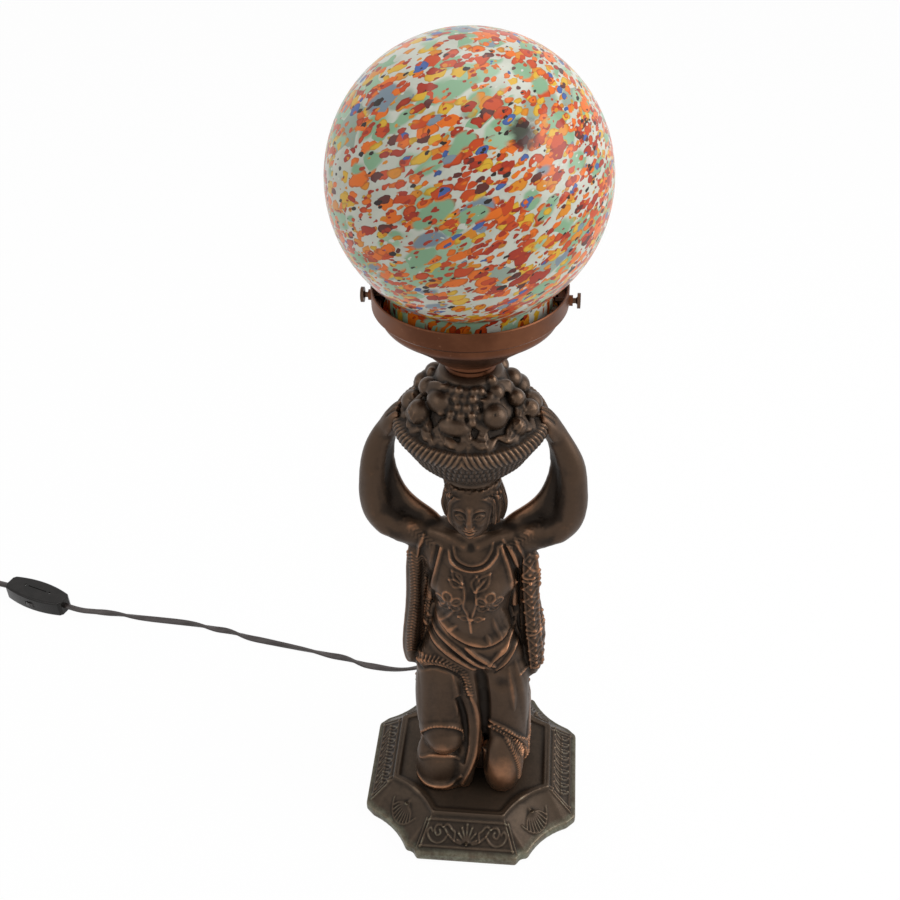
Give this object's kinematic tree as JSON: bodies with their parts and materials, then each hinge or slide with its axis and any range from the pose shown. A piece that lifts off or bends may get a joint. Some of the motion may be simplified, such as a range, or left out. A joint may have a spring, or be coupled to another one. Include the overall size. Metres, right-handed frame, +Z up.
{
  "type": "table lamp",
  "caption": "Figural table lamp: a kneeling cast figure on an octagonal plinth carries a fruit basket and a gallery with a spherical glass globe; corded, with an inline switch and a plug.",
  "frame": {"origin": "centre of the plinth, at the underside of its felt, on the lamp's own axis", "axes": "+Z up along the stem, the figure faces -Y, +X is on the right of someone who looks at the figure"},
  "size_m": [0.6247, 0.2676, 0.5623],
  "materials": {
    "felt": "matt felt",
    "bronze_base": "patinated bronze finish, pale green on the edges",
    "bronze_figure": "patinated bronze finish, copper where it is rubbed",
    "bronze_basket": "patinated bronze finish",
    "steel": "plain zinc plated",
    "gallery_metal": "satin copper brown",
    "screw_metal": "satin copper brown",
    "globe_glass": "glossy opal glass with coloured spatter",
    "holder_brass": "plain brass",
    "sleeve_card": "insulating card",
    "holder_insulator": "moulded insulator",
    "contact_brass": "plain brass",
    "bulb_cap_metal": "plain",
    "bulb_glass": "frosted white",
    "cord_plastic": "dark brown flexible plastic",
    "switch_plastic": "dark brown moulded",
    "switch_wheel_plastic": "dark brown moulded",
    "tie_plastic": "black band",
    "plug_plastic": "dark brown moulded"
  },
  "bodies": {
    "lamp": {"felt_pad": "felt", "plinth": "bronze_base", "figure_body": "bronze_figure", "fruit_basket": "bronze_basket", "right_arm": "bronze_figure", "left_arm": "bronze_figure", "threaded_stem": "steel", "base_washer": "steel", "base_nut": "steel", "gallery_nut": "steel", "gallery_neck": "gallery_metal", "gallery": "gallery_metal", "screw_bosses": "gallery_metal", "glass_globe": "globe_glass", "holder_cap": "holder_brass", "holder_shell": "holder_brass", "insulating_sleeve": "sleeve_card", "holder_core": "holder_insulator", "screw_shell": "contact_brass", "bulb_contact": "contact_brass", "bulb_cap": "bulb_cap_metal", "bulb_glass": "bulb_glass", "cord_bushing": "cord_plastic", "inner_cord": "cord_plastic", "switch_bottom": "switch_plastic", "switch_top": "switch_plastic", "switch_contacts": "contact_brass", "switch_screws": "steel", "cord_coil": "cord_plastic", "cord_to_switch": "cord_plastic", "cord_to_coil": "cord_plastic", "coil_tie": "tie_plastic", "plug_body": "plug_plastic", "plug_blades": "contact_brass"},
    "thumbscrew_east": {"thumbscrew_1": "screw_metal"},
    "thumbscrew_back": {"thumbscrew_2": "screw_metal"},
    "thumbscrew_west": {"thumbscrew_3": "screw_metal"},
    "switch_wheel": {"switch_wheel": "switch_wheel_plastic"}
  },
  "joints": [
    {"name": "thumbscrew_east_slide", "type": "slide", "parent": "lamp", "child": "thumbscrew_east", "axis": [1, 0, 0], "range_m": [0, 0.0045]},
    {"name": "thumbscrew_back_slide", "type": "slide", "parent": "lamp", "child": "thumbscrew_back", "axis": [0, 1, 0], "range_m": [0, 0.0045]},
    {"name": "thumbscrew_west_slide", "type": "slide", "parent": "lamp", "child": "thumbscrew_west", "axis": [-1, 0, 0], "range_m": [0, 0.0045]},
    {"name": "switch_wheel_turn", "type": "hinge", "parent": "lamp", "child": "switch_wheel", "pos_m": [-0.40831, 0.15606, 0.0075], "axis": [0, 0, 1], "continuous": true}
  ]
}
